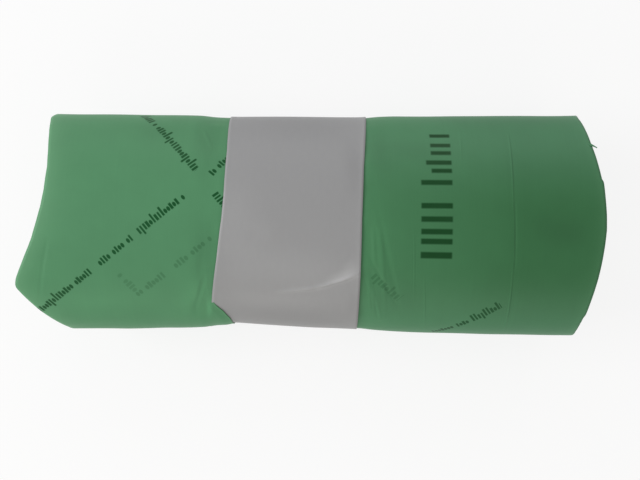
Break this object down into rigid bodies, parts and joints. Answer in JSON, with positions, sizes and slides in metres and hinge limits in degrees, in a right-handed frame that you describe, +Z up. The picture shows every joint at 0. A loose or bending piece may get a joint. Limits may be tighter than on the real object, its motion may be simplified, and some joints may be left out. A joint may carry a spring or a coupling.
{
  "type": "bin bag roll",
  "caption": "Coreless oval roll of thin green compostable bin bags lying on its side, with a plain light grey paper band glued round its middle.",
  "frame": {"origin": "middle of the flat underside that the roll rests on", "axes": "+X along the roll towards its squarer end, -Y its front, +Z up out of its broad crown"},
  "size_m": [0.1814, 0.0736, 0.0415],
  "materials": {
    "green_film": "satin, slightly translucent thin film",
    "grey_paper": "smooth satin grey paper"
  },
  "bodies": {
    "root": {"bag_roll": "green_film", "paper_band": "grey_paper"}
  },
  "joints": []
}
